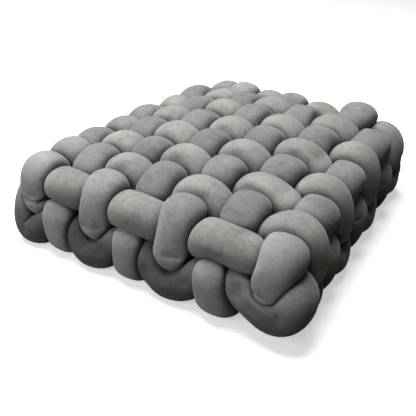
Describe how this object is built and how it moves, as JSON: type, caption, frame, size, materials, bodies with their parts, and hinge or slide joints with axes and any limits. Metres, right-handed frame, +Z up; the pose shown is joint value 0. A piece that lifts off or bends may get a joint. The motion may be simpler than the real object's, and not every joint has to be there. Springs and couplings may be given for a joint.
{
  "type": "woven floor cushion",
  "caption": "Thick, nearly square floor cushion woven in two layers from closed loops of stuffed grey velvet tube, for sitting on or as a throw pillow.",
  "frame": {"origin": "on the floor under the middle of the cushion", "axes": "+X across the columns, +Y across the rows, +Z up"},
  "size_m": [0.4487, 0.5162, 0.1571],
  "materials": {
    "velvet": "short-pile velvet with a soft sheen",
    "filling": "white polyester fibre"
  },
  "bodies": {
    "root": {"row_0_sleeve": "velvet", "row_0_core": "filling", "row_1_sleeve": "velvet", "row_1_core": "filling", "row_2_sleeve": "velvet", "row_2_core": "filling", "row_3_sleeve": "velvet", "row_3_core": "filling", "row_4_sleeve": "velvet", "row_4_core": "filling", "row_5_sleeve": "velvet", "row_5_core": "filling", "row_6_sleeve": "velvet", "row_6_core": "filling", "row_7_sleeve": "velvet", "row_7_core": "filling", "column_0_sleeve": "velvet", "column_0_core": "filling", "column_1_sleeve": "velvet", "column_1_core": "filling", "column_2_sleeve": "velvet", "column_2_core": "filling", "column_3_sleeve": "velvet", "column_3_core": "filling", "column_4_sleeve": "velvet", "column_4_core": "filling", "column_5_sleeve": "velvet", "column_5_core": "filling", "column_6_sleeve": "velvet", "column_6_core": "filling"}
  },
  "joints": []
}
